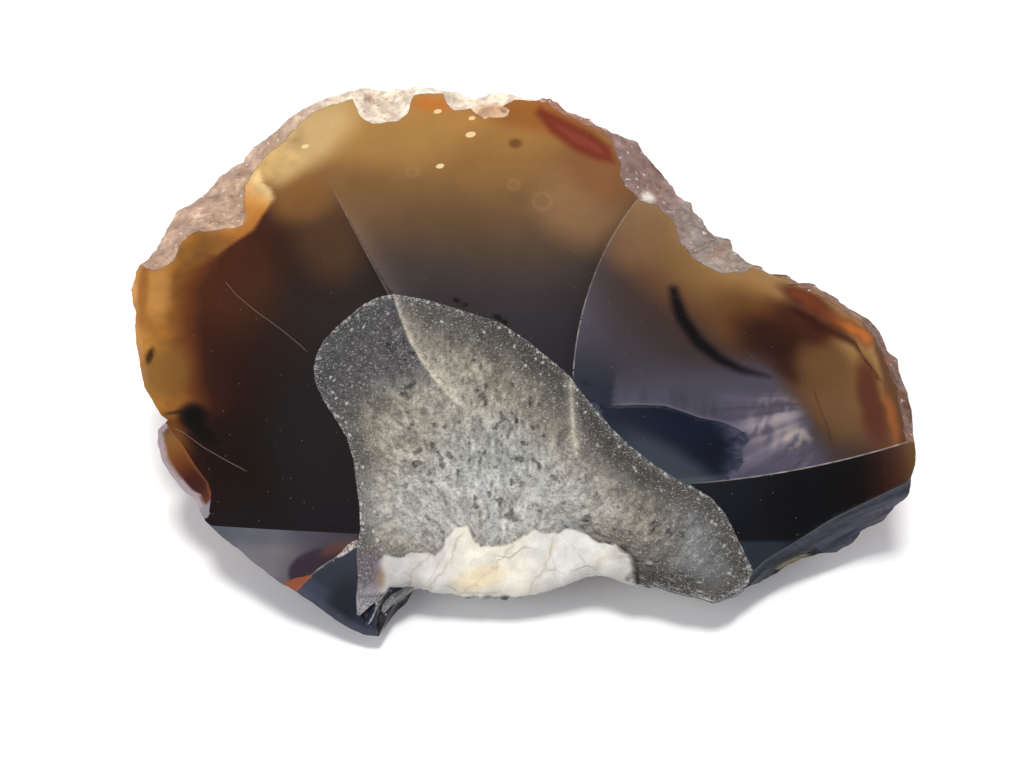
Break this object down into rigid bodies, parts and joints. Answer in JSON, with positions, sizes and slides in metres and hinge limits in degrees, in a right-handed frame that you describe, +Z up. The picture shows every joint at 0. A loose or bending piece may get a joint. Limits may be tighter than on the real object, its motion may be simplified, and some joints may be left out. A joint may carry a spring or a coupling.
{
  "type": "broken half nodule of carnelian agate",
  "caption": "Broken half of a carnelian agate nodule: glassy brown face with a gray quartz heart, thin rough rind, domed back.",
  "frame": {"origin": "middle of the bounding box's underside, on the surface that the stone rests on", "axes": "+Z up, +X along the stone's length to the viewer's right, -Y towards the viewer; the broken face leans back 25 degrees from level"},
  "size_m": [0.1279, 0.0899, 0.0446],
  "materials": {
    "carnelian": "glassy, translucent, amber at the edge and dark brown inside",
    "quartz": "broken gray crystals, sparkling, with a chalky white band below",
    "rind": "rough, matt to waxy, pinkish gray and rust brown"
  },
  "bodies": {
    "root": {"carnelian_nodule": "carnelian"}
  },
  "joints": []
}
